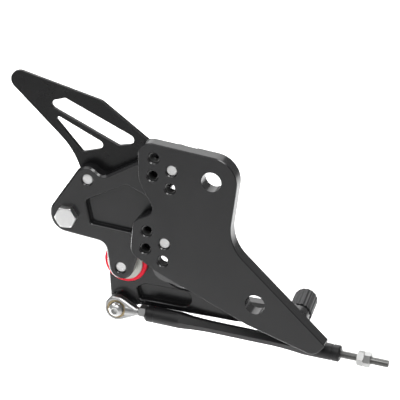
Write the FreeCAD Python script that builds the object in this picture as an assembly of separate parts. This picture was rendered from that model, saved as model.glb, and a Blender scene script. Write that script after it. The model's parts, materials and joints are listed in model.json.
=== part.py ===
import FreeCAD, Part
import math
import os

# Left-hand rear set of a road-race motorcycle: frame plate, adjustable peg
# carrier, heel guard, foot peg, and a gear lever with its shift rod.
# Millimetres. +X points forward, +Y outboard, +Z up.
# The origin is the axis of the upper frame bore on the plate's inboard face.

# Frame plate
frame_thickness = 11.0
carrier_seat_depth = 1.5
carrier_seat_edge = -13.5
frame_bore = 15.0
lower_bore_x = 33.3
lower_bore_z = -92.5
upper_lobe = 19.2
lower_lobe = 18.4
front_waist_x = 44.6
front_waist_z = -36.3
front_waist_radius = 30.0
tip_reach = 50.4
tip_drop = 25.5
tip_radius = 2.0
toe_lobe = 8.8
bevel_angle = 16.0
frame_chamfer = 0.6
back_chamfer = 0.5

# Adjustment holes: two like groups of four
first_hole_x = -43.4
first_hole_z = 12.8
across_x = 13.3
across_z = -8.4
down_x = -1.2
down_z = -14.0
group_x = -5.8
group_z = -58.5
adjust_margin = 10.2

# Peg carrier
carrier_thickness = 10.0
carrier_chamfer = 1.5
upper_carrier_lobe = 13.9
lower_carrier_lobe = 9.5
waist_fillet = 8.0
waist_inset = 3.0
peg_x = -113.6
peg_z = -46.2
peg_lobe = 13.9
peg_lobe_drop = 0.4
pivot_x = -72.9
pivot_z = -83.0
ear_radius = 9.3
pocket_depth = 4.5
pocket_chamfer = 0.8

# Heel guard and its two screws
guard_thickness = 3.0
guard_chamfer = 0.3
rear_guard_screw_x = -97.8
rear_guard_screw_z = -15.7
rear_guard_lobe = 10.0
front_guard_screw_x = -52.5
front_guard_screw_z = -10.2
guard_tip_x = -151.8
guard_tip_z = 52.1
guard_tip_radius = 7.4

# Threaded parts, by nominal diameter
large_thread = 10.0
main_thread = 8.0
small_thread = 6.0
thread_gap = 0.05
hole_gap = 0.2
rim_chamfer = 0.8
bolt_end_chamfer = 0.4
cap_head_diameter = 13.0
cap_head_height = 8.0
cap_socket_flats = 6.0
cap_socket_depth = 4.0
counterbore_diameter = 14.0
counterbore_depth = 6.0
carrier_bolt_length = 12.0
button_head_diameter = 10.5
button_head_height = 3.3
button_socket_flats = 4.0
button_socket_depth = 2.0
main_button_diameter = 13.0
main_button_height = 4.0
main_button_flats = 5.0
guard_bolt_length = 12.0
nut_flats = 10.0
nut_height = 5.0

# Foot peg and its bolt
footpeg_diameter = 21.5
footpeg_length = 74.0
footpeg_flange = 3.0
footpeg_flutes = 18
footpeg_flute_radius = 1.5
footpeg_flute_depth = 0.9
footpeg_rings = 5
footpeg_ring_width = 1.6
footpeg_bore = 12.0
footpeg_bore_depth = 34.0
footpeg_edge = 1.0
footpeg_bolt_flats = 14.8
footpeg_bolt_head = 5.5
footpeg_bolt_length = 32.0

# Lever pivot: bolt, sleeve, two ball bearings, washers and collar
pivot_bolt_recess = 1.6
thrust_washer_diameter = 27.0
thrust_washer_thickness = 2.0
collar_diameter = 33.0
collar_flange = 3.2
collar_spigot = 2.0
collar_bore = 14.0
collar_running_gap = 0.3
sleeve_diameter = 12.0
bearing_outer = 21.0
bearing_width = 5.0
bearing_count = 2
bearing_ball = 2.8
balls_per_bearing = 11
race_shoulder = 1.35
race_gap = 0.03
press_gap = 0.02
end_washer_diameter = 20.0
end_washer_thickness = 1.5
end_float = 0.5

# Shift lever
lever_hub = 15.5
lever_arm_thickness = 8.0
lever_chamfer = 1.0
rod_boss = 7.5
rod_pin_x = -78.4
rod_pin_z = -120.0
arm_underside_x = -62.5
arm_underside_z = -125.3
arm_underside_radius = 6.0
arm_throat_x = -28.0
arm_throat_z = -81.0
arm_throat_radius = 20.0
toe_x = 55.8
toe_z = -115.2
toe_boss = 8.0
crank_start_x = 0.0
crank_angle = 6.0
lever_pocket_depth = 5.0
lever_pocket_chamfer = 0.6

# Toe peg
toe_peg_diameter = 18.0
toe_peg_length = 27.0
toe_peg_flutes = 16
toe_peg_flute_radius = 1.6
toe_peg_flute_depth = 0.5
toe_peg_edge = 1.2
toe_peg_thread_depth = 18.0

# Rod end on the lever
ball_diameter = 12.7
ball_width = 9.0
ball_gap = 0.05
liner_outer = 14.4
liner_width = 6.2
eye_diameter = 19.0
eye_width = 6.75
eye_edge = 1.0
eye_tail = 13.4
neck_start = 6.5
neck_end = 16.5
neck_root_radius = 5.2
neck_tip_radius = 3.4
rod_end_length = 36.0
rod_end_spacer = 2.1
spacer_diameter = 10.5
rod_screw_length = 18.0

# Shift rod
rod_slope = 3.9
rod_start = 22.65
rod_length = 149.5
rod_diameter = 12.4
rod_flats = 8.0
runout_start = 21.0
runout_end = 54.0
rod_groove_place = 6.0
rod_groove_width = 1.0
rod_groove_depth = 0.4
rod_end_edge = 1.0
rod_bore_depth = 22.0
stud_length = 56.4
stud_depth = 20.0
stud_nut_place = 13.0
first_nut_turn = 11.0
second_nut_turn = -4.0
rod_turn = 6.6
jam_nut_turn = -4.0

# Places that follow from the sizes above
carrier_front = frame_thickness - carrier_seat_depth
carrier_back = carrier_front + carrier_thickness
guard_back = carrier_back + guard_thickness
washer_back = carrier_back + thrust_washer_thickness
collar_front = washer_back + collar_running_gap
lever_front = collar_front + collar_flange
bearing_front = lever_front + collar_spigot
hub_back = bearing_front + bearing_count * bearing_width
sleeve_back = hub_back + end_float
head_seat = sleeve_back + end_washer_thickness
arm_back = lever_front + lever_arm_thickness
ball_back = lever_front - rod_end_spacer
rod_axis_y = ball_back - ball_width / 2
ball_front = ball_back - ball_width

front = FreeCAD.Vector(0, -1, 0)
outboard = FreeCAD.Vector(0, 1, 0)
forward = FreeCAD.Vector(1, 0, 0)
up = FreeCAD.Vector(0, 0, 1)


def point(x, y, z):
    return FreeCAD.Vector(x, y, z)


def belt(circles, y):
    """Closed outline round a row of circles (x, z, radius), counter-clockwise.

    A negative radius is a hollow that the outline bends into, and straight
    tangents join each circle to the next.
    """
    normals = []
    for here, there in zip(circles, circles[1:] + circles[:1]):
        dx = there[0] - here[0]
        dz = there[1] - here[1]
        lean = math.acos((here[2] - there[2]) / math.hypot(dx, dz))
        normals.append(math.atan2(dz, dx) - lean)
    edges = []
    for i, (x, z, radius) in enumerate(circles):
        start = normals[i - 1]
        sweep = (normals[i] - start) % (2 * math.pi)
        if radius < 0:
            sweep -= 2 * math.pi
        if abs(sweep) > 2 * math.pi - 1e-6:
            sweep = 0.0

        def on_circle(angle):
            return point(x + radius * math.cos(angle), y, z + radius * math.sin(angle))

        finish = on_circle(start + sweep)
        if radius and abs(sweep) > 1e-6:
            arc = Part.Arc(on_circle(start), on_circle(start + sweep / 2), finish)
            edges.append(arc.toShape())
        nx, nz, next_radius = circles[(i + 1) % len(circles)]
        arrival = point(nx + next_radius * math.cos(normals[i]), y,
                        nz + next_radius * math.sin(normals[i]))
        edges.append(Part.LineSegment(finish, arrival).toShape())
    return Part.Face(Part.Wire(edges))


def plate(circles, y_front, y_back):
    return belt(circles, y_front).extrude(outboard * (y_back - y_front))


def rod(diameter, y_front, y_back, x=0.0, z=0.0):
    return Part.makeCylinder(diameter / 2, y_back - y_front, point(x, y_front, z), outboard)


def ring(outer, inner, y_front, y_back, x=0.0, z=0.0):
    return rod(outer, y_front, y_back, x, z).cut(rod(inner, y_front, y_back, x, z))


def hexagon(flats, y_front, y_back, x=0.0, z=0.0, turn=0.0):
    radius = flats / math.sqrt(3)
    corners = []
    for i in range(7):
        angle = math.radians(turn + 60 * i)
        corners.append(point(x + radius * math.cos(angle), y_front, z + radius * math.sin(angle)))
    return Part.Face(Part.makePolygon(corners)).extrude(outboard * (y_back - y_front))


def revolved(profile, x=0.0, z=0.0):
    """Solid of revolution about a line along Y; the profile is (radius, y) points."""
    corners = [point(x + radius, y, z) for radius, y in profile]
    corners.append(corners[0])
    return Part.Face(Part.makePolygon(corners)).revolve(point(x, 0, z), outboard, 360)


def chamfered(solid, size, y, wanted=None):
    """Chamfer the edges that lie in the plane at y."""
    edges = []
    for edge in solid.Edges:
        box = edge.BoundBox
        if abs(box.YMin - y) < 1e-4 and abs(box.YMax - y) < 1e-4:
            if wanted is None or wanted(edge):
                edges.append(edge)
    return solid.makeChamfer(size, edges)


def pocket_tool(circles, y, depth, rim):
    """Cutter for a pocket whose rim is chamfered where it meets the face at y."""
    mouth = belt([(x, z, radius + 2 * rim) for x, z, radius in circles], y - rim)
    throat = belt(circles, y + rim)
    flare = Part.makeLoft([mouth.OuterWire, throat.OuterWire], True, True)
    return plate(circles, y, y + depth).fuse(flare)


def longer_than(length):
    return lambda edge: edge.Length > length


def tapped_hole(thread, y_front, y_back, x, z):
    """Threaded hole at its nominal diameter, with a chamfered rim in front."""
    radius = thread / 2 + thread_gap
    rim = radius + rim_chamfer
    return revolved([(0, y_front - rim_chamfer), (rim + rim_chamfer, y_front - rim_chamfer),
                     (radius, y_front + rim_chamfer), (radius, y_back), (0, y_back)], x, z)


def screw(thread, y_end, y_seat, x, z):
    """Plain shank of a screw that points inboard, with a chamfered end."""
    radius = thread / 2
    tip = radius - bolt_end_chamfer
    return revolved([(0, y_end), (tip, y_end), (radius, y_end + bolt_end_chamfer),
                     (radius, y_seat), (0, y_seat)], x, z)


def cap_screw(thread, y_end, y_seat, x, z):
    """Socket cap screw put in from the outboard side."""
    top = y_seat + cap_head_height
    radius = cap_head_diameter / 2
    head = revolved([(0, y_seat), (radius, y_seat), (radius, top - bolt_end_chamfer),
                     (radius - bolt_end_chamfer, top), (0, top)], x, z)
    socket = hexagon(cap_socket_flats, top - cap_socket_depth, top + 1, x, z)
    return head.fuse(screw(thread, y_end, y_seat, x, z)).cut(socket).removeSplitter()


def domed_head(diameter, height, flats, depth, y_seat, x, z):
    """Button head whose dome points outboard."""
    radius = diameter / 2
    crown = flats * 0.72
    shoulder = height * 0.25
    middle = (radius + crown) / 2
    rise = shoulder + (height - shoulder) * 0.68
    side = Part.makePolygon([point(x, y_seat, z), point(x + radius, y_seat, z),
                             point(x + radius, y_seat + shoulder, z)])
    dome = Part.Arc(point(x + radius, y_seat + shoulder, z), point(x + middle, y_seat + rise, z),
                    point(x + crown, y_seat + height, z)).toShape()
    top = Part.makePolygon([point(x + crown, y_seat + height, z), point(x, y_seat + height, z),
                            point(x, y_seat, z)])
    outline = Part.Wire(side.Edges + [dome] + top.Edges)
    head = Part.Face(outline).revolve(point(x, 0, z), outboard, 360)
    return head.cut(hexagon(flats, y_seat + height - depth, y_seat + height + 1, x, z))


def nut(thread, flats, height, turn=0.0):
    """Hexagon nut along Y from the origin, with both faces chamfered."""
    corner = flats / math.sqrt(3)
    cut_back = (corner - flats / 2) * 0.6
    cone = revolved([(0, 0), (flats / 2, 0), (corner, cut_back), (corner, height - cut_back),
                     (flats / 2, height), (0, height)])
    body = hexagon(flats, 0, height, turn=turn).common(cone)
    return body.cut(rod(thread + 2 * thread_gap, -1, height + 1))


def fluted(diameter, y_front, y_back, count, flute_radius, flute_depth):
    """Round bar along Y with lengthwise flutes."""
    bar = rod(diameter, y_front, y_back)
    reach = diameter / 2 + flute_radius - flute_depth
    flutes = []
    for i in range(count):
        angle = 2 * math.pi * i / count
        flutes.append(rod(2 * flute_radius, y_front - 1, y_back + 1,
                          reach * math.cos(angle), reach * math.sin(angle)))
    return bar.cut(Part.makeCompound(flutes))


def adjust_holes():
    """The eight adjustment holes; the second of each group carries a bolt."""
    places = []
    for group in (0, 1):
        for across, down in ((0, 0), (1, 0), (0, 1), (1, 1)):
            x = first_hole_x + across * across_x + down * down_x + group * group_x
            z = first_hole_z + across * across_z + down * down_z + group * group_z
            places.append((x, z))
    return places


adjust_places = adjust_holes()
upper_bolt = adjust_places[1]
lower_bolt = adjust_places[5]
upper_front_hole = adjust_places[0]
lower_top_hole = adjust_places[4]
lower_rear_hole = adjust_places[6]


def frame_plate():
    tip_x = lower_bore_x + tip_reach
    tip_z = lower_bore_z - tip_drop
    outline = [
        (lower_bore_x, lower_bore_z, lower_lobe),
        (tip_x - toe_lobe + 0.6, tip_z + 0.7, toe_lobe),
        (tip_x, tip_z, tip_radius),
        (front_waist_x, front_waist_z, -front_waist_radius),
        (0.0, 0.0, upper_lobe),
        (upper_front_hole[0] - 1.9, upper_front_hole[1] + 1.3, adjust_margin),
        (upper_front_hole[0] + 8.5, upper_front_hole[1] - 13.8, adjust_margin * 2),
        (lower_top_hole[0] - 2.7, lower_top_hole[1] + 18.6, -7.0),
        (lower_top_hole[0] - 1.4, lower_top_hole[1] + 0.8, adjust_margin - 0.6),
        (lower_rear_hole[0] - 3.0, lower_rear_hole[1] - 0.9, adjust_margin - 2.0),
        (lower_rear_hole[0] + 3.7, lower_rear_hole[1] - 17.6, -2.5),
        (lower_rear_hole[0] + 15.2, lower_rear_hole[1] - 15.9, 9.0),
        (lower_rear_hole[0] + 24.7, lower_rear_hole[1] - 41.6, -15.0),
    ]
    body = plate(outline, 0.0, frame_thickness)
    body = chamfered(body, frame_chamfer, 0.0)
    body = chamfered(body, back_chamfer, frame_thickness)

    # The carrier's seat is a shallow step that runs out through the rear edge.
    box = body.BoundBox
    seat = Part.makeBox(carrier_seat_edge - box.XMin + 1, carrier_seat_depth + 1,
                        box.ZLength + 2, point(box.XMin - 1, carrier_front, box.ZMin - 1))
    body = body.cut(seat)

    # A bevel cuts the lower rear lobe back to a straight line on the inboard face.
    start = point(lower_rear_hole[0] + 3.2, 0, lower_rear_hole[1] - 14.3)
    heading = point(24.7, 0, -11.9).normalize()
    away = heading.cross(outboard) * -1
    if away.z > 0:
        away = away * -1
    reach = 12.0
    drop = reach * math.tan(math.radians(bevel_angle))
    base = start - heading * 3.0
    corners = [base - outboard, base + away * reach - outboard,
               base + away * reach + outboard * drop, base, base - outboard]
    wedge = Part.Face(Part.makePolygon(corners)).extrude(heading * 29.0)
    body = body.cut(wedge)

    for x, z in ((0.0, 0.0), (lower_bore_x, lower_bore_z)):
        body = body.cut(rod(frame_bore, -1, frame_thickness + 1, x, z))
    for x, z in adjust_places:
        body = body.cut(tapped_hole(main_thread, 0.0, frame_thickness + 1, x, z))
    return body


def carrier_outline():
    along = point(upper_bolt[0] - lower_bolt[0], 0, upper_bolt[1] - lower_bolt[1]).normalize()
    side = point(along.z, 0, -along.x)

    def hollow(bolt, lobe, heading):
        """Fillet that joins a bolt lobe to the straight waist between the bolts."""
        offset = waist_fillet - waist_inset
        reach = math.sqrt((lobe + waist_fillet) ** 2 - offset ** 2) + 0.3
        centre = point(bolt[0], 0, bolt[1]) + along * reach * heading + side * offset
        return (centre.x, centre.z, -waist_fillet)

    return [
        (pivot_x, pivot_z, ear_radius),
        (pivot_x + 21.3, pivot_z + 9.6, -8.0),
        (lower_bolt[0], lower_bolt[1], lower_carrier_lobe),
        hollow(lower_bolt, lower_carrier_lobe, 1),
        hollow(upper_bolt, upper_carrier_lobe, -1),
        (upper_bolt[0], upper_bolt[1], upper_carrier_lobe),
        (rear_guard_screw_x + 12.3, rear_guard_screw_z + 11.9, -7.0),
        (rear_guard_screw_x, rear_guard_screw_z, rear_guard_lobe),
        (peg_x, peg_z - peg_lobe_drop, peg_lobe),
        (pivot_x - 18.1, pivot_z + 12.3, -7.0),
    ]


def carrier_plate():
    body = plate(carrier_outline(), carrier_front, carrier_back)
    body = chamfered(body, carrier_chamfer, carrier_front)
    body = chamfered(body, back_chamfer, carrier_back)
    pocket = pocket_tool([
        (peg_x + 20.4, peg_z - 1.6, 3.0),
        (lower_bolt[0] - 15.3, lower_bolt[1] + 3.4, 4.0),
        (upper_bolt[0] - 20.1, upper_bolt[1] - 32.3, 4.0),
        (upper_bolt[0] - 37.7, upper_bolt[1] - 23.0, 3.0),
        (peg_x + 17.1, peg_z + 12.4, 2.6),
    ], carrier_front, pocket_depth, pocket_chamfer)
    body = body.cut(pocket)
    for x, z in (upper_bolt, lower_bolt):
        body = body.cut(rod(main_thread + 2 * hole_gap, carrier_front - 1, carrier_back + 1, x, z))
        body = body.cut(rod(counterbore_diameter, carrier_back - counterbore_depth,
                            carrier_back + 1, x, z))
    body = body.cut(rod(large_thread + 2 * hole_gap, carrier_front - 1, carrier_back + 1,
                        peg_x, peg_z))
    for x, z in ((pivot_x, pivot_z), (rear_guard_screw_x, rear_guard_screw_z),
                 (front_guard_screw_x, front_guard_screw_z)):
        body = body.cut(tapped_hole(main_thread, carrier_front, carrier_back + 1, x, z))
    return body


def carrier_bolts():
    seat = carrier_back - counterbore_depth
    return [cap_screw(main_thread, seat - carrier_bolt_length, seat, x, z)
            for x, z in (upper_bolt, lower_bolt)]


def heel_guard():
    body = plate([
        (guard_tip_x, guard_tip_z, guard_tip_radius),
        (rear_guard_screw_x - 61.2, rear_guard_screw_z - 11.5, -54.5),
        (rear_guard_screw_x + 1.8, rear_guard_screw_z, 9.0),
        (front_guard_screw_x, front_guard_screw_z, 9.0),
        (front_guard_screw_x + 2.4, front_guard_screw_z + 16.6, 7.0),
        (guard_tip_x + 60.0, guard_tip_z - 13.9, 6.0),
    ], carrier_back, guard_back)
    upper_window = [
        (guard_tip_x + 27.7, guard_tip_z - 15.7, 3.6),
        (front_guard_screw_x - 23.7, front_guard_screw_z + 22.0, 1.5),
        (front_guard_screw_x - 16.4, front_guard_screw_z + 26.1, 3.9),
        (guard_tip_x + 34.4, guard_tip_z - 11.4, 1.5),
    ]
    lower_window = [
        (guard_tip_x + 29.6, guard_tip_z - 27.0, 1.9),
        (rear_guard_screw_x - 5.8, rear_guard_screw_z + 19.2, 1.6),
        (rear_guard_screw_x + 5.4, rear_guard_screw_z + 24.5, 3.5),
    ]
    for window in (upper_window, lower_window):
        body = body.cut(plate(window, carrier_back - 1, guard_back + 1))
    body = chamfered(body, guard_chamfer, carrier_back)
    body = chamfered(body, guard_chamfer, guard_back)
    for x, z in ((rear_guard_screw_x, rear_guard_screw_z),
                 (front_guard_screw_x, front_guard_screw_z)):
        body = body.cut(rod(main_thread + 2 * hole_gap, carrier_back - 1, guard_back + 1, x, z))
    return body


def guard_screws():
    screws = []
    for x, z in ((rear_guard_screw_x, rear_guard_screw_z),
                 (front_guard_screw_x, front_guard_screw_z)):
        shank = screw(main_thread, guard_back - guard_bolt_length, guard_back, x, z)
        head = domed_head(main_button_diameter, main_button_height, main_button_flats,
                          button_socket_depth + 0.5, guard_back, x, z)
        screws.append(head.fuse(shank).removeSplitter())
    return screws


def footpeg():
    root = carrier_back
    end = root + footpeg_length
    radius = footpeg_diameter / 2
    grip_start = root + footpeg_flange
    body = fluted(footpeg_diameter, grip_start, end, footpeg_flutes, footpeg_flute_radius,
                  footpeg_flute_depth)
    pitch = (footpeg_length - footpeg_flange) / (footpeg_rings + 1)
    for i in range(footpeg_rings):
        y = grip_start + pitch * (i + 1)
        body = body.cut(ring(footpeg_diameter + 2, footpeg_diameter - 2 * footpeg_flute_depth,
                             y - footpeg_ring_width / 2, y + footpeg_ring_width / 2))
    rounded = revolved([(0, grip_start), (radius, grip_start), (radius, end - footpeg_edge),
                        (radius - footpeg_edge, end), (0, end)])
    body = body.common(rounded).fuse(rod(footpeg_diameter, root, grip_start))
    body = body.cut(rod(footpeg_bore, end - footpeg_bore_depth, end + 1))
    thread_end = carrier_front + footpeg_bolt_length + 2.0
    body = body.cut(rod(large_thread + 2 * thread_gap, root - 1, thread_end))
    body.translate(point(peg_x, 0, peg_z))
    return body


def footpeg_bolt():
    head_front = carrier_front - footpeg_bolt_head
    flats_edge = footpeg_bolt_flats / 2
    corner = footpeg_bolt_flats / math.sqrt(3)
    cone = revolved([(0, head_front), (flats_edge, head_front), (corner, head_front + 0.7),
                     (corner, carrier_front), (0, carrier_front)])
    head = hexagon(footpeg_bolt_flats, head_front, carrier_front, turn=3.0).common(cone)
    radius = large_thread / 2
    end = carrier_front + footpeg_bolt_length
    shank = revolved([(0, carrier_front), (radius, carrier_front),
                      (radius, end - bolt_end_chamfer), (radius - bolt_end_chamfer, end), (0, end)])
    body = head.fuse(shank).removeSplitter()
    body.translate(point(peg_x, 0, peg_z))
    return body


def pivot_bolt():
    return cap_screw(main_thread, carrier_front + pivot_bolt_recess, head_seat, pivot_x, pivot_z)


def pivot_sleeve():
    return ring(sleeve_diameter, main_thread + 2 * hole_gap, washer_back, sleeve_back,
                pivot_x, pivot_z)


def thrust_washer():
    body = ring(thrust_washer_diameter, main_thread + 2 * hole_gap, carrier_back, washer_back,
                pivot_x, pivot_z)
    return chamfered(body, 0.3, carrier_back, longer_than(60))


def end_washer():
    return ring(end_washer_diameter, main_thread + 2 * hole_gap, sleeve_back, head_seat,
                pivot_x, pivot_z)


def bearing_collar():
    outer = collar_diameter / 2
    spigot = bearing_outer / 2 - press_gap
    inner = collar_bore / 2
    return revolved([(inner, collar_front), (outer - 0.5, collar_front),
                     (outer, collar_front + 0.5), (outer, lever_front),
                     (spigot, lever_front), (spigot, bearing_front),
                     (inner, bearing_front)], pivot_x, pivot_z)


def bearing_pitch():
    return (bearing_outer + sleeve_diameter) / 4


def bearing_races(inner_side):
    """One race for each bearing, with a ball groove turned into it."""
    pitch = bearing_pitch()
    races = []
    for i in range(bearing_count):
        y = bearing_front + i * bearing_width
        if inner_side:
            body = ring(2 * (pitch - race_shoulder) + 1.5, sleeve_diameter + 2 * press_gap,
                        y + 0.01, y + bearing_width - 0.01, pivot_x, pivot_z)
        else:
            body = ring(bearing_outer - 2 * press_gap, 2 * (pitch + race_shoulder) - 1.5,
                        y + 0.01, y + bearing_width - 0.01, pivot_x, pivot_z)
        groove = Part.makeTorus(pitch, bearing_ball / 2 + race_gap,
                                point(pivot_x, y + bearing_width / 2, pivot_z), outboard)
        races.append(body.cut(groove))
    return races


def bearing_balls():
    pitch = bearing_pitch()
    balls = []
    for i in range(bearing_count):
        y = bearing_front + (i + 0.5) * bearing_width
        for j in range(balls_per_bearing):
            angle = 2 * math.pi * j / balls_per_bearing
            balls.append(Part.makeSphere(bearing_ball / 2,
                                         point(pivot_x + pitch * math.cos(angle), y,
                                               pivot_z + pitch * math.sin(angle))))
    return balls


def lever_outline():
    return [
        (pivot_x, pivot_z, lever_hub),
        (rod_pin_x, rod_pin_z, rod_boss),
        (arm_underside_x, arm_underside_z, -arm_underside_radius),
        (toe_x, toe_z, toe_boss),
        (arm_throat_x, arm_throat_z, -arm_throat_radius),
    ]


def lever_plan():
    """The arm seen from above: straight, then cranked outboard to the toe."""
    lean = math.tan(math.radians(crank_angle))
    widening = lever_arm_thickness * (1 / math.cos(math.radians(crank_angle)) - 1)
    rear = pivot_x - lever_hub - 10
    tip = toe_x + toe_boss + 10
    offset = (tip - crank_start_x) * lean
    corners = [point(rear, lever_front, 0), point(crank_start_x, lever_front, 0),
               point(tip, lever_front + offset, 0), point(tip, arm_back + offset + widening, 0),
               point(crank_start_x, arm_back, 0), point(rear, arm_back, 0),
               point(rear, lever_front, 0)]
    height = 400
    plan = Part.Face(Part.makePolygon(corners)).extrude(up * height)
    plan.translate(point(0, 0, -height / 2 - 100))
    return plan


def toe_axis():
    """Where the peg's axis leaves the back of the cranked arm, and its heading."""
    lean = math.radians(crank_angle)
    heading = point(-math.sin(lean), math.cos(lean), 0)
    offset = (toe_x - crank_start_x) * math.tan(lean)
    seat = point(toe_x, arm_back + offset + lever_arm_thickness * (1 / math.cos(lean) - 1), toe_z)
    return seat, heading


def to_toe(body):
    """Move a body modelled along Y from the origin to the toe peg's axis."""
    seat, heading = toe_axis()
    placed = body.copy()
    placed.rotate(point(0, 0, 0), up, crank_angle)
    placed.translate(seat)
    return placed


def shift_lever():
    body = plate(lever_outline(), lever_front, arm_back + 40).common(lever_plan())
    body = body.fuse(rod(2 * lever_hub, lever_front, hub_back, pivot_x, pivot_z)).removeSplitter()
    body = chamfered(body, lever_chamfer, lever_front, longer_than(2.0))
    pocket = pocket_tool([
        (pivot_x + 11.4, pivot_z - 28.2, 3.0),
        (pivot_x + 43.1, pivot_z - 25.9, 6.5),
        (pivot_x + 14.9, pivot_z - 21.1, 3.0),
        (pivot_x + 9.8, pivot_z - 23.2, 2.5),
    ], lever_front, lever_pocket_depth, lever_pocket_chamfer)
    body = body.cut(pocket)
    body = body.cut(rod(bearing_outer, lever_front - 1, hub_back + 1, pivot_x, pivot_z))
    body = body.cut(rod(small_thread + 2 * thread_gap, lever_front - 1, arm_back + 1,
                        rod_pin_x, rod_pin_z))
    body = body.cut(to_toe(rod(small_thread + 2 * hole_gap, -lever_arm_thickness - 5, 5)))
    return body


def toe_peg():
    radius = toe_peg_diameter / 2
    body = fluted(toe_peg_diameter, 0, toe_peg_length, toe_peg_flutes, toe_peg_flute_radius,
                  toe_peg_flute_depth)
    shape = revolved([(0, 0), (radius, 0), (radius, toe_peg_length - toe_peg_edge),
                      (radius - toe_peg_edge, toe_peg_length), (0, toe_peg_length)])
    body = body.common(shape)
    body = body.cut(rod(small_thread + 2 * thread_gap, -1, toe_peg_thread_depth))
    return to_toe(body)


def toe_peg_screw():
    """Button screw from the inboard side of the arm into the peg."""
    seat = -lever_arm_thickness
    head = domed_head(button_head_diameter, button_head_height, button_socket_flats,
                      button_socket_depth, 0, 0, 0)
    head.rotate(point(0, 0, 0), forward, 180)
    head.translate(point(0, seat, 0))
    end = toe_peg_thread_depth - 2.0
    radius = small_thread / 2
    shank = revolved([(0, seat), (radius, seat), (radius, end - bolt_end_chamfer),
                      (radius - bolt_end_chamfer, end), (0, end)])
    return to_toe(head.fuse(shank).removeSplitter())


def rod_end_ball():
    body = Part.makeSphere(ball_diameter / 2, point(rod_pin_x, rod_axis_y, rod_pin_z))
    width = rod(ball_diameter + 2, ball_front, ball_back, rod_pin_x, rod_pin_z)
    bore = rod(small_thread + 2 * thread_gap, ball_front - 1, ball_back + 1, rod_pin_x, rod_pin_z)
    return body.common(width).cut(bore)


def rod_end_spacer_ring():
    return ring(spacer_diameter, small_thread + 2 * thread_gap, ball_back, lever_front,
                rod_pin_x, rod_pin_z)


def rod_end_screw():
    """Button screw from the inboard side, through the ball, into the lever."""
    head = domed_head(button_head_diameter, button_head_height, button_socket_flats,
                      button_socket_depth, 0, 0, 0)
    head.rotate(point(0, 0, 0), forward, 180)
    end = rod_screw_length
    radius = small_thread / 2
    shank = revolved([(0, 0), (radius, 0), (radius, end - bolt_end_chamfer),
                      (radius - bolt_end_chamfer, end), (0, end)])
    body = head.fuse(shank).removeSplitter()
    body.translate(point(rod_pin_x, ball_front, rod_pin_z))
    return body


def along_rod(body, start=0.0):
    """Move a body modelled along Y from the origin onto the shift rod's axis."""
    placed = body.copy()
    placed.rotate(point(0, 0, 0), up, -90)
    placed.translate(point(start, 0, 0))
    placed.rotate(point(0, 0, 0), outboard, rod_slope)
    placed.translate(point(rod_pin_x, rod_axis_y, rod_pin_z))
    return placed


def rod_end_eye():
    """Flat forged head that narrows to its neck, and the threaded shank."""
    half = eye_width / 2
    radius = eye_diameter / 2
    eye = plate([(0, 0, radius), (eye_tail, 0, neck_tip_radius)], -half, half)
    eye = chamfered(chamfered(eye, eye_edge, -half), eye_edge, half)
    neck = revolved([(0, neck_start), (neck_root_radius, neck_start),
                     (neck_tip_radius, neck_end), (0, neck_end)])
    thread = screw(small_thread, 0, rod_end_length - neck_end, 0, 0)
    thread.rotate(point(0, 0, 0), forward, 180)
    thread.translate(point(0, rod_end_length, 0))
    shank = neck.fuse(thread)
    shank.rotate(point(0, 0, 0), up, -90)
    bore = rod(liner_outer + 2 * press_gap, -half - 10, half + 10)
    body = eye.fuse(shank).cut(bore)
    body.rotate(point(0, 0, 0), outboard, rod_slope)
    body.translate(point(rod_pin_x, rod_axis_y, rod_pin_z))
    return body


def rod_end_liner():
    body = rod(liner_outer, rod_axis_y - liner_width / 2, rod_axis_y + liner_width / 2,
               rod_pin_x, rod_pin_z)
    hollow = Part.makeSphere(ball_diameter / 2 + ball_gap,
                             point(rod_pin_x, rod_axis_y, rod_pin_z))
    return body.cut(hollow)


def rod_jam_nut():
    return along_rod(nut(small_thread, nut_flats, nut_height, jam_nut_turn), rod_start - nut_height)


def milled_flat(angle):
    """What a cutter takes off the bar for one flat, with a long run-out at each end."""
    flat = rod_flats / 2
    lead = 2.0
    reach = runout_end - runout_start + lead
    rise = (rod_diameter / 2 - flat) * (reach / (reach - lead)) ** 2

    def run_out(end, heading):
        start = point(flat + rise, end - heading * reach, 0)
        middle = point(flat + rise / 4, end - heading * reach / 2, 0)
        return Part.Arc(start, middle, point(flat, end, 0)).toShape()

    near = run_out(runout_end, 1)
    far = run_out(rod_length - runout_end, -1)
    top = flat + rise
    floor = Part.LineSegment(point(flat, runout_end, 0), point(flat, rod_length - runout_end, 0))
    lid = Part.LineSegment(point(top, rod_length - runout_end + reach, 0),
                           point(top, runout_end - reach, 0))
    face = Part.Face(Part.Wire([near, floor.toShape(), far, lid.toShape()]))
    cutter = face.extrude(up * rod_diameter)
    cutter.translate(up * (-rod_diameter / 2))
    cutter.rotate(point(0, 0, 0), outboard, -angle)
    return cutter


def shift_rod():
    """Round bar with six flats milled along its middle."""
    radius = rod_diameter / 2
    half = rod_groove_width / 2
    floor = radius - rod_groove_depth
    profile = [(0, 0), (radius - rod_end_edge, 0), (radius, rod_end_edge)]
    for groove in (rod_groove_place, rod_length - rod_groove_place):
        profile += [(radius, groove - half), (floor, groove - half),
                    (floor, groove + half), (radius, groove + half)]
    profile += [(radius, rod_length - rod_end_edge), (radius - rod_end_edge, rod_length),
                (0, rod_length)]
    body = revolved(profile)
    for i in range(6):
        body = body.cut(milled_flat(rod_turn + 30 + 60 * i))
    bore = small_thread + 2 * thread_gap
    body = body.cut(rod(bore, -1, rod_bore_depth))
    body = body.cut(rod(bore, rod_length - rod_bore_depth, rod_length + 1))
    return along_rod(body, rod_start)


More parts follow.
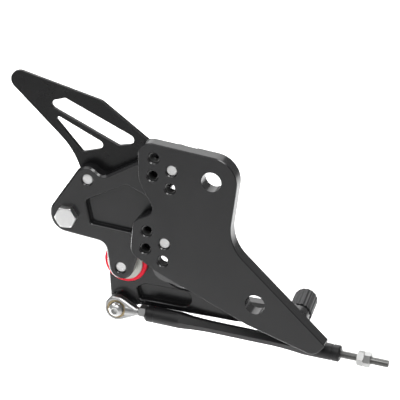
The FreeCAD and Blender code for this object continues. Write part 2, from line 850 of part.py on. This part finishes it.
def rod_stud():
    radius = small_thread / 2
    body = revolved([(0, 0), (radius - bolt_end_chamfer, 0), (radius, bolt_end_chamfer),
                     (radius, stud_length - bolt_end_chamfer),
                     (radius - bolt_end_chamfer, stud_length), (0, stud_length)])
    return along_rod(body, rod_start + rod_length - stud_depth)


def stud_nuts():
    place = rod_start + rod_length + stud_nut_place
    first = nut(small_thread, nut_flats, nut_height, first_nut_turn)
    second = nut(small_thread, nut_flats, nut_height, second_nut_turn)
    return [along_rod(first, place), along_rod(second, place + nut_height)]


def save(name, shape):
    """Write one sub-part; a list becomes a group of separate solids."""
    bodies = shape if isinstance(shape, list) else [shape]
    solids = [solid for body in bodies for solid in body.Solids]
    whole = solids[0] if len(solids) == 1 else Part.makeCompound(solids)
    whole.exportStep(os.path.join("parts", name + ".step"))


def main():
    os.makedirs("parts", exist_ok=True)
    save("frame_plate", frame_plate())
    save("carrier_plate", carrier_plate())
    save("carrier_bolts", carrier_bolts())
    save("heel_guard", heel_guard())
    save("guard_screws", guard_screws())
    save("footpeg", footpeg())
    save("footpeg_bolt", footpeg_bolt())
    save("pivot_bolt", pivot_bolt())
    save("pivot_sleeve", pivot_sleeve())
    save("thrust_washer", thrust_washer())
    save("end_washer", end_washer())
    save("bearing_collar", bearing_collar())
    save("bearing_inner_races", bearing_races(True))
    save("bearing_outer_races", bearing_races(False))
    save("bearing_balls", bearing_balls())
    save("shift_lever", shift_lever())
    save("toe_peg", toe_peg())
    save("toe_peg_screw", toe_peg_screw())
    save("rod_end_eye", rod_end_eye())
    save("rod_end_liner", rod_end_liner())
    save("rod_end_ball", rod_end_ball())
    save("rod_end_spacer", rod_end_spacer_ring())
    save("rod_end_screw", rod_end_screw())
    save("rod_jam_nut", rod_jam_nut())
    save("shift_rod", shift_rod())
    save("rod_stud", rod_stud())
    save("stud_nuts", stud_nuts())


main()
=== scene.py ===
import math

import bpy
import json
from mathutils import Matrix, Vector

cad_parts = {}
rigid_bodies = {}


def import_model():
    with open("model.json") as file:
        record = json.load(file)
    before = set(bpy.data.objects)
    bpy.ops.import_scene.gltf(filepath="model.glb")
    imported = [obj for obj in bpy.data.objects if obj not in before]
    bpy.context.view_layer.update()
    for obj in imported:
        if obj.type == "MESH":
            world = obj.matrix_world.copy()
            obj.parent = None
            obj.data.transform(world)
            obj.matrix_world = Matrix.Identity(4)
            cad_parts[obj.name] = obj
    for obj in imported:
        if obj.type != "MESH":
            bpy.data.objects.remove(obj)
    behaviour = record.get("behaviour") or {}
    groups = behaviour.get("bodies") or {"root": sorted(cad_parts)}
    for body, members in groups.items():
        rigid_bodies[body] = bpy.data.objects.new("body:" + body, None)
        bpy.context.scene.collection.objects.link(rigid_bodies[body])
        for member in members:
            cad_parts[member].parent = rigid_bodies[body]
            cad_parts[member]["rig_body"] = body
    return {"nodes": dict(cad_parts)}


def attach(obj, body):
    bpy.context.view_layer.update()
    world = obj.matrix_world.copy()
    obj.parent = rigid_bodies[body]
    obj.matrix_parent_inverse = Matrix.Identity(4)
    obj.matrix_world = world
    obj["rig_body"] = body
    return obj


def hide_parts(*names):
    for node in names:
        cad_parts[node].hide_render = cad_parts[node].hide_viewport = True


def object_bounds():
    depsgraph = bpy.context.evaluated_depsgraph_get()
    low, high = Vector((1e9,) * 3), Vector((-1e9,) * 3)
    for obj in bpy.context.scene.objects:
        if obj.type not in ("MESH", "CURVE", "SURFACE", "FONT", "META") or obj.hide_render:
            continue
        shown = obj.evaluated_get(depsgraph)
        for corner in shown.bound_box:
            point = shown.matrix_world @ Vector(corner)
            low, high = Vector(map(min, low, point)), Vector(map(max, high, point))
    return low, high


MM = 0.001

# The photograph's view: a long lens, turned a little to the front and looking down
photo_width = 400
view_turn = math.radians(18.0)
view_drop = math.radians(24.6)
view_distance = 2.35
focal_pixels = 3290.0
sensor_width = 36.0
origin_column = 211.1
origin_row = 182.5
view_reach = 30.0

# Studio
floor_drop = 0.25
floor_size = 14.0
room_glow = 0.3
floor_shade = (0.9, 0.9, 0.9, 1.0)
floor_roughness = 0.8
floor_specular = 0.2
white = (1.0, 1.0, 1.0, 1.0)

# Soft boxes: name, place and target in metres, width, height, glow, spread in degrees
soft_boxes = (
    ("ceiling", (0.0, 1.3, 1.2), (0.0, 1.3, -1.0), 1.6, 1.4, 2.6, 100.0),
    ("back_left", (-0.6, 2.2, 0.9), (0.0, 0.0, 0.0), 1.8, 1.1, 1.5, 180.0),
    ("floor_pool", (0.35, 0.8, 0.5), (0.35, 0.8, -1.0), 0.3, 0.3, 4.0, 70.0),
    ("apron", (0.35, -0.75, 1.0), (0.25, -0.75, -1.0), 0.7, 0.5, 6.5, 180.0),
    ("left_floor", (-0.8, 0.25, 0.7), (-0.8, 0.25, -1.0), 0.4, 0.4, 30.0, 90.0),
    ("front_left", (-0.9, -1.0, 1.7), (0.0, 0.0, 0.0), 1.3, 1.0, 1.5, 180.0),
)

# Refractive index of an anodised film, and of a duller one
oxide_index = 1.65
dull_index = 1.45

# Pivots and the shift rod's line, in millimetres
lever_pivot = (-72.9, 0.0, -83.0)
rod_pin = (-78.4, 18.4, -120.0)
rod_slope = math.radians(3.9)
stud_start = 152.15
stud_length = 56.4

# The tapped adjustment holes, in millimetres: two groups of four, one of each with a bolt
first_hole = (-43.4, 12.8)
across_step = (13.3, -8.4)
down_step = (-1.2, -14.0)
group_step = (-5.8, -58.5)
open_holes = ((0, 0), (0, 1), (1, 1))
hole_mouth = 0.9
hole_end = 9.4

# Screw threads, in millimetres: radius at the root and the crest, pitch, flat of the crest
stud_thread = (2.42, 2.98, 1.0, 0.14)
hole_thread = (4.12, 3.4, 1.25, 0.16)
thread_steps = 24
thread_lead = 0.4
core_overlap = 0.03
stud_end_chamfer = 0.4

# Mesh work: a distance in metres, and angles
merge_distance = 1e-6
flat_angle = math.radians(0.05)
edge_angle = math.radians(28)
stud_end_angle = math.radians(60)
smooth_angle = math.radians(50)
thread_smooth_angle = math.radians(30)
round_segments = 2
face_weight = 100

# Surface patterns: the usual ends of a noise value, and scales in cells a metre
noise_low = 0.3
noise_high = 0.7
cloud_scale = 38.0
fine_grain = 2500.0
coarse_grain = 900.0
ring_scale = 1500.0
ring_slope = 0.35

# Radius of the broken edges on each machined piece, in millimetres
edge_rounds = {
    "frame_plate": 0.1,
    "carrier_plate": 0.2,
    "heel_guard": 0.1,
    "shift_lever": 0.12,
    "shift_rod": 0.18,
    "footpeg": 0.04,
    "toe_peg": 0.15,
    "bearing_collar": 0.12,
    "thrust_washer": 0.12,
    "end_washer": 0.12,
    "footpeg_bolt": 0.12,
    "carrier_bolts": 0.12,
    "guard_screws": 0.12,
    "pivot_bolt": 0.12,
    "toe_peg_screw": 0.1,
    "rod_end_screw": 0.1,
    "rod_end_eye": 0.15,
    "rod_end_ball": 0.08,
    "rod_end_liner": 0.08,
}


def deselect():
    bpy.ops.object.select_all(action="DESELECT")


def make_active(piece):
    deselect()
    piece.select_set(True)
    bpy.context.view_layer.objects.active = piece


# Shader node groups


def start_group(name, inputs, outputs):
    """An empty node group; inputs are (name, kind, value) and outputs (name, kind)."""
    group = bpy.data.node_groups.new(name, "ShaderNodeTree")
    for label, kind, value in inputs:
        socket = group.interface.new_socket(label, in_out="INPUT", socket_type=kind)
        socket.default_value = value
    for label, kind in outputs:
        group.interface.new_socket(label, in_out="OUTPUT", socket_type=kind)
    return group, group.nodes.new("NodeGroupInput"), group.nodes.new("NodeGroupOutput")


def noise(nodes, links, coordinates, scale, detail=3.0, roughness=0.55):
    node = nodes.new("ShaderNodeTexNoise")
    node.inputs["Scale"].default_value = scale
    node.inputs["Detail"].default_value = detail
    node.inputs["Roughness"].default_value = roughness
    links.new(coordinates, node.inputs["Vector"])
    return node


def spread(nodes, links, value, low, high):
    """Map a value from its usual noise range onto low to high."""
    node = nodes.new("ShaderNodeMapRange")
    node.inputs["From Min"].default_value = noise_low
    node.inputs["From Max"].default_value = noise_high
    links.new(value, node.inputs["Value"])
    for label, end in (("To Min", low), ("To Max", high)):
        if isinstance(end, float):
            node.inputs[label].default_value = end
        else:
            links.new(end, node.inputs[label])
    return node.outputs["Result"]


def blasted_skin():
    """Fine blasted grain under an anodised film, with soft clouds in its depth."""
    group, start, end = start_group(
        "blasted_skin",
        [("Dark", "NodeSocketColor", (0.01, 0.01, 0.01, 1.0)),
         ("Light", "NodeSocketColor", (0.02, 0.02, 0.02, 1.0)),
         ("Grain Scale", "NodeSocketFloat", fine_grain),
         ("Grain Depth", "NodeSocketFloat", 0.02),
         ("Roughness Low", "NodeSocketFloat", 0.3),
         ("Roughness High", "NodeSocketFloat", 0.4)],
        [("Colour", "NodeSocketColor"), ("Roughness", "NodeSocketFloat"),
         ("Normal", "NodeSocketVector")])
    nodes, links = group.nodes, group.links
    place = nodes.new("ShaderNodeTexCoord").outputs["Object"]
    clouds = noise(nodes, links, place, cloud_scale, 4.0)
    grain = noise(nodes, links, place, fine_grain, 2.0)
    links.new(start.outputs["Grain Scale"], grain.inputs["Scale"])
    shade = nodes.new("ShaderNodeMix")
    shade.data_type = "RGBA"
    links.new(spread(nodes, links, clouds.outputs["Fac"], 0.0, 1.0), shade.inputs["Factor"])
    links.new(start.outputs["Dark"], shade.inputs["A"])
    links.new(start.outputs["Light"], shade.inputs["B"])
    bump = nodes.new("ShaderNodeBump")
    bump.inputs["Strength"].default_value = 1.0
    depth = nodes.new("ShaderNodeMath")
    depth.operation = "MULTIPLY"
    links.new(grain.outputs["Fac"], depth.inputs[0])
    links.new(start.outputs["Grain Depth"], depth.inputs[1])
    links.new(depth.outputs[0], bump.inputs["Height"])
    bump.inputs["Distance"].default_value = MM
    rough = spread(nodes, links, clouds.outputs["Fac"], start.outputs["Roughness Low"],
                   start.outputs["Roughness High"])
    links.new(shade.outputs["Result"], end.inputs["Colour"])
    links.new(rough, end.inputs["Roughness"])
    links.new(bump.outputs["Normal"], end.inputs["Normal"])
    return group


def turned_skin():
    """Rings left by a lathe tool round a line along Y through Centre."""
    group, start, end = start_group(
        "turned_skin",
        [("Centre", "NodeSocketVector", (0.0, 0.0, 0.0)),
         ("Rings", "NodeSocketFloat", ring_scale),
         ("Depth", "NodeSocketFloat", 0.01),
         ("Roughness Low", "NodeSocketFloat", 0.2),
         ("Roughness High", "NodeSocketFloat", 0.3)],
        [("Roughness", "NodeSocketFloat"), ("Normal", "NodeSocketVector")])
    nodes, links = group.nodes, group.links
    place = nodes.new("ShaderNodeTexCoord").outputs["Object"]
    offset = nodes.new("ShaderNodeVectorMath")
    offset.operation = "SUBTRACT"
    links.new(place, offset.inputs[0])
    links.new(start.outputs["Centre"], offset.inputs[1])
    flat = nodes.new("ShaderNodeVectorMath")
    flat.operation = "MULTIPLY"
    flat.inputs[1].default_value = (1.0, ring_slope, 1.0)
    links.new(offset.outputs["Vector"], flat.inputs[0])
    reach = nodes.new("ShaderNodeVectorMath")
    reach.operation = "LENGTH"
    links.new(flat.outputs["Vector"], reach.inputs[0])
    line = nodes.new("ShaderNodeCombineXYZ")
    links.new(reach.outputs["Value"], line.inputs["X"])
    rings = noise(nodes, links, line.outputs["Vector"], ring_scale, 4.0, 0.7)
    links.new(start.outputs["Rings"], rings.inputs["Scale"])
    bump = nodes.new("ShaderNodeBump")
    depth = nodes.new("ShaderNodeMath")
    depth.operation = "MULTIPLY"
    links.new(rings.outputs["Fac"], depth.inputs[0])
    links.new(start.outputs["Depth"], depth.inputs[1])
    links.new(depth.outputs[0], bump.inputs["Height"])
    bump.inputs["Distance"].default_value = MM
    rough = spread(nodes, links, rings.outputs["Fac"], start.outputs["Roughness Low"],
                   start.outputs["Roughness High"])
    links.new(rough, end.inputs["Roughness"])
    links.new(bump.outputs["Normal"], end.inputs["Normal"])
    return group


def place_group(material, group, values):
    """Put a group in a material with its own values."""
    node = material.node_tree.nodes.new("ShaderNodeGroup")
    node.node_tree = group
    for label, value in values.items():
        node.inputs[label].default_value = value
    return node


def start_material(name, metallic, specular=0.5, index=1.5):
    """A material and its surface shader."""
    material = bpy.data.materials.new(name)
    material.use_nodes = True
    shader = material.node_tree.nodes["Principled BSDF"]
    shader.inputs["Metallic"].default_value = metallic
    shader.inputs["Specular IOR Level"].default_value = specular
    shader.inputs["IOR"].default_value = index
    return material, shader


def anodised(name, skin, dark, light, rough, grain_depth=0.02, metallic=0.0, index=oxide_index,
             grain_scale=fine_grain):
    material, shader = start_material(name, metallic, index=index)
    node = place_group(material, skin, {
        "Dark": (*dark, 1.0),
        "Light": (*light, 1.0),
        "Grain Scale": grain_scale,
        "Grain Depth": grain_depth,
        "Roughness Low": rough[0],
        "Roughness High": rough[1],
    })
    links = material.node_tree.links
    links.new(node.outputs["Colour"], shader.inputs["Base Color"])
    links.new(node.outputs["Roughness"], shader.inputs["Roughness"])
    links.new(node.outputs["Normal"], shader.inputs["Normal"])
    return material


def turned(name, skin, colour, centre, rough, rings=ring_scale, depth=0.01, metallic=1.0):
    material, shader = start_material(name, metallic)
    shader.inputs["Base Color"].default_value = (*colour, 1.0)
    node = place_group(material, skin, {
        "Centre": centre,
        "Rings": rings,
        "Depth": depth,
        "Roughness Low": rough[0],
        "Roughness High": rough[1],
    })
    links = material.node_tree.links
    links.new(node.outputs["Roughness"], shader.inputs["Roughness"])
    links.new(node.outputs["Normal"], shader.inputs["Normal"])
    return material


# Pieces


def broken_edges(node, width):
    """A merged copy of a machined node with its sharp edges broken."""
    source = frame["nodes"][node]
    piece = source.copy()
    piece.data = source.data.copy()
    piece.name = node + "_finished"
    bpy.context.scene.collection.objects.link(piece)
    make_active(piece)
    bpy.ops.mesh.customdata_custom_splitnormals_clear()
    bpy.ops.object.mode_set(mode="EDIT")
    bpy.ops.mesh.select_all(action="SELECT")
    bpy.ops.mesh.remove_doubles(threshold=merge_distance)
    bpy.ops.mesh.dissolve_limited(angle_limit=flat_angle)
    bpy.ops.object.mode_set(mode="OBJECT")
    bevel = piece.modifiers.new("edges", "BEVEL")
    bevel.width = width * MM
    bevel.segments = round_segments
    bevel.limit_method = "ANGLE"
    bevel.angle_limit = edge_angle
    bevel.use_clamp_overlap = False
    bevel.miter_outer = "MITER_ARC"
    bpy.ops.object.modifier_apply(modifier=bevel.name)
    bpy.ops.object.shade_smooth_by_angle(angle=smooth_angle)
    weight = piece.modifiers.new("weight", "WEIGHTED_NORMAL")
    weight.weight = face_weight
    weight.keep_sharp = True
    bpy.ops.object.modifier_apply(modifier=weight.name)
    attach(piece, source["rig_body"])
    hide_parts(node)
    return piece


def rod_heading():
    """The direction in which the shift rod runs."""
    return Vector((math.cos(rod_slope), 0.0, -math.sin(rod_slope)))


def thread_ridge(root, crest, pitch, flat, length):
    """A screw thread round +Z from the origin, as one closed ridge."""
    deselect()
    bpy.ops.mesh.primitive_plane_add(size=1.0, location=((root + crest) / 2 * MM, 0, pitch * MM),
                                     rotation=(math.pi / 2, 0, 0))
    ridge = bpy.context.active_object
    ridge.scale = (abs(crest - root) * MM, pitch * MM, 1.0)
    bpy.ops.object.transform_apply(location=True, rotation=True, scale=True)
    for corner in ridge.data.vertices:
        corner.select = abs(corner.co.x - crest * MM) < merge_distance
    bpy.ops.object.mode_set(mode="EDIT")
    bpy.ops.mesh.select_mode(type="VERT")
    bpy.ops.transform.resize(value=(1.0, 1.0, flat / pitch))
    bpy.ops.mesh.select_all(action="SELECT")
    bpy.ops.mesh.delete(type="ONLY_FACE")
    bpy.ops.object.mode_set(mode="OBJECT")
    screw = ridge.modifiers.new("thread", "SCREW")
    screw.axis = "Z"
    screw.screw_offset = pitch * MM
    screw.iterations = int(length / pitch) - 1
    screw.steps = screw.render_steps = thread_steps
    screw.use_merge_vertices = False
    bpy.ops.object.modifier_apply(modifier=screw.name)
    bpy.ops.object.mode_set(mode="EDIT")
    bpy.ops.mesh.select_all(action="SELECT")
    bpy.ops.mesh.fill_holes(sides=4)
    bpy.ops.mesh.select_all(action="SELECT")
    bpy.ops.mesh.normals_make_consistent(inside=False)
    bpy.ops.object.mode_set(mode="OBJECT")
    bpy.ops.object.shade_smooth_by_angle(angle=thread_smooth_angle)
    return ridge


def lay_along(piece, place, heading):
    """Turn a piece's +Z onto a line and put its origin at a place on it."""
    turn = heading.to_track_quat("Z", "Y").to_matrix().to_4x4()
    piece.matrix_world = Matrix.Translation(place) @ turn
    make_active(piece)
    bpy.ops.object.transform_apply(location=True, rotation=True, scale=True)


def threaded_stud():
    """The stud with its thread cut along its whole length."""
    root, crest, pitch, flat = stud_thread
    ridge = thread_ridge(root, crest, pitch, flat, stud_length)
    deselect()
    bpy.ops.mesh.primitive_cylinder_add(vertices=thread_steps * 2,
                                        radius=(root + core_overlap) * MM,
                                        depth=stud_length * MM,
                                        location=(0, 0, stud_length / 2 * MM))
    core = bpy.context.active_object
    bpy.ops.object.transform_apply(location=True, rotation=True, scale=True)
    bevel = core.modifiers.new("ends", "BEVEL")
    bevel.width = stud_end_chamfer * MM
    bevel.segments = round_segments
    bevel.limit_method = "ANGLE"
    bevel.angle_limit = stud_end_angle
    bpy.ops.object.modifier_apply(modifier=bevel.name)
    bpy.ops.object.shade_smooth_by_angle(angle=thread_smooth_angle)
    ridge.select_set(True)
    bpy.ops.object.join()
    core.name = "rod_stud_thread"
    source = frame["nodes"]["rod_stud"]
    start = (Vector(rod_pin) + rod_heading() * stud_start) * MM
    lay_along(core, start, rod_heading())
    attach(core, source["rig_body"])
    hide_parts("rod_stud")
    return core


def hole_threads():
    """Cut threads in the six adjustment holes that carry no bolt."""
    body = frame["nodes"]["frame_plate"]["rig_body"]
    pieces = []
    for group in (0, 1):
        for across, down in open_holes:
            x = first_hole[0] + across * across_step[0] + down * down_step[0]
            z = first_hole[1] + across * across_step[1] + down * down_step[1]
            x += group * group_step[0]
            z += group * group_step[1]
            coil = thread_ridge(*hole_thread, hole_end - hole_mouth)
            lay_along(coil, Vector((x, hole_mouth - thread_lead, z)) * MM, Vector((0, 1, 0)))
            coil.name = "hole_thread_%d" % (len(pieces) + 1)
            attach(coil, body)
            pieces.append(coil)
    return pieces


def give(piece, material):
    """Leave a piece with one material, in its slot."""
    piece.data.materials.clear()
    piece.data.materials.append(material)


# Studio


def aim(thing, target):
    """Turn a light so that it points at a place."""
    heading = Vector(target) - thing.location
    thing.rotation_euler = heading.to_track_quat("-Z", "Y").to_euler()


def soft_box(name, place, target, width, height, glow, spread):
    """An area light whose face glows with one strength, unseen by the camera."""
    light = bpy.data.lights.new(name, "AREA")
    light.shape = "RECTANGLE"
    light.size = width
    light.size_y = height
    light.energy = glow * math.pi * width * height
    light.spread = math.radians(spread)
    box = bpy.data.objects.new(name, light)
    bpy.context.scene.collection.objects.link(box)
    box.location = place
    box.visible_camera = False
    aim(box, target)
    return box


def camera():
    """The camera stands where the photograph's stood, and the origin falls on its pixel."""
    cos_turn, sin_turn = math.cos(view_turn), math.sin(view_turn)
    cos_drop, sin_drop = math.cos(view_drop), math.sin(view_drop)
    right = Vector((cos_turn, sin_turn, 0.0))
    ahead = Vector((-sin_turn * cos_drop, cos_turn * cos_drop, -sin_drop))
    above = Vector((-sin_turn * sin_drop, cos_turn * sin_drop, cos_drop))
    pixel = view_distance / focal_pixels
    middle = photo_width / 2
    place = -(right * (origin_column - middle) * pixel
              - above * (origin_row - middle) * pixel + ahead * view_distance)
    data = bpy.data.cameras.new("camera")
    data.sensor_width = sensor_width
    data.lens = focal_pixels / photo_width * sensor_width
    data.clip_end = view_reach
    eye = bpy.data.objects.new("camera", data)
    bpy.context.scene.collection.objects.link(eye)
    turn = Matrix((right, above, -ahead)).transposed()
    eye.matrix_world = Matrix.Translation(place) @ turn.to_4x4()
    bpy.context.scene.camera = eye


def studio(lowest):
    scene = bpy.context.scene
    scene.view_settings.view_transform = "Standard"
    world = bpy.data.worlds.new("white_room")
    world.use_nodes = True
    background = world.node_tree.nodes["Background"]
    background.inputs["Color"].default_value = white
    background.inputs["Strength"].default_value = room_glow
    scene.world = world
    bpy.ops.mesh.primitive_plane_add(size=floor_size, location=(0, 0, lowest - floor_drop))
    floor = bpy.context.active_object
    floor.name = "floor"
    material, shader = start_material("floor_paint", 0.0, floor_specular)
    shader.inputs["Base Color"].default_value = floor_shade
    shader.inputs["Roughness"].default_value = floor_roughness
    floor.data.materials.append(material)
    for box in soft_boxes:
        soft_box(*box)


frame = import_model()
cad_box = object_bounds()
deselect()

skin = blasted_skin()
lathe = turned_skin()

black = anodised("black_anodised", skin, (0.008, 0.008, 0.009), (0.013, 0.013, 0.014),
                 (0.18, 0.24), grain_depth=0.003)
guard_black = anodised("guard_anodised", skin, (0.004, 0.004, 0.0045), (0.007, 0.007, 0.0075),
                       (0.24, 0.3), grain_depth=0.003, index=dull_index)
carrier_black = anodised("carrier_anodised", skin, (0.010, 0.010, 0.011),
                         (0.016, 0.016, 0.017), (0.18, 0.24), grain_depth=0.003)
grip = anodised("grip_anodised", skin, (0.012, 0.012, 0.013), (0.02, 0.02, 0.021), (0.26, 0.36))
peg_black = anodised("peg_anodised", skin, (0.009, 0.009, 0.010), (0.015, 0.015, 0.016),
                     (0.34, 0.44), index=dull_index)
rod_black = anodised("rod_anodised", skin, (0.012, 0.012, 0.013), (0.018, 0.018, 0.019),
                     (0.36, 0.44), index=dull_index)
zinc = anodised("bright_zinc", skin, (0.62, 0.62, 0.62), (0.76, 0.76, 0.75), (0.3, 0.42),
                grain_depth=0.012, metallic=1.0)
ground = anodised("ground_steel", skin, (0.68, 0.69, 0.7), (0.78, 0.79, 0.8), (0.12, 0.2),
                  grain_depth=0.002, metallic=1.0)
bronze = anodised("bronze_metal", skin, (0.34, 0.27, 0.16), (0.42, 0.34, 0.22), (0.35, 0.45),
                  grain_depth=0.006, metallic=1.0)

steel = anodised("thread_steel", skin, (0.16, 0.16, 0.16), (0.22, 0.22, 0.21), (0.28, 0.4),
                 grain_depth=0.01, metallic=1.0)
forged = anodised("forged_zinc", skin, (0.78, 0.78, 0.78), (0.93, 0.93, 0.92), (0.34, 0.46),
                  grain_depth=0.05, metallic=1.0, grain_scale=coarse_grain)
eye_steel = anodised("eye_steel", skin, (0.42, 0.42, 0.42), (0.56, 0.56, 0.55), (0.3, 0.42),
                     grain_depth=0.015, metallic=1.0)
cut_aluminium = anodised("cut_aluminium", skin, (0.2, 0.2, 0.2), (0.3, 0.3, 0.3), (0.35, 0.5),
                         grain_depth=0.01, metallic=1.0)
pivot_centre = tuple(value * MM for value in lever_pivot)
turned_red = turned("turned_red", lathe, (0.95, 0.03, 0.06), pivot_centre, (0.24, 0.36),
                    metallic=0.7)
turned_steel = turned("turned_steel", lathe, (0.58, 0.58, 0.54), pivot_centre, (0.3, 0.45),
                      depth=0.02)

finishes = {
    "frame_plate": black,
    "carrier_plate": carrier_black,
    "heel_guard": guard_black,
    "shift_lever": carrier_black,
    "shift_rod": rod_black,
    "footpeg": grip,
    "toe_peg": peg_black,
    "rod_stud": steel,
    "footpeg_bolt": forged,
    "carrier_bolts": forged,
    "guard_screws": forged,
    "pivot_bolt": forged,
    "rod_end_eye": eye_steel,
    "stud_nuts": eye_steel,
    "toe_peg_screw": eye_steel,
    "bearing_collar": turned_red,
    "rod_end_liner": bronze,
    "thrust_washer": turned_steel,
    "end_washer": turned_steel,
    "pivot_sleeve": ground,
    "rod_end_ball": ground,
    "bearing_inner_races": ground,
    "bearing_outer_races": ground,
    "bearing_balls": ground,
}

for node in sorted(frame["nodes"]):
    piece = frame["nodes"][node]
    if node == "rod_stud":
        piece = threaded_stud()
    elif node in edge_rounds:
        piece = broken_edges(node, edge_rounds[node])
    give(piece, finishes.get(node, zinc))
for coil in hole_threads():
    give(coil, cut_aluminium)
deselect()

camera()
studio(cad_box[0][2])
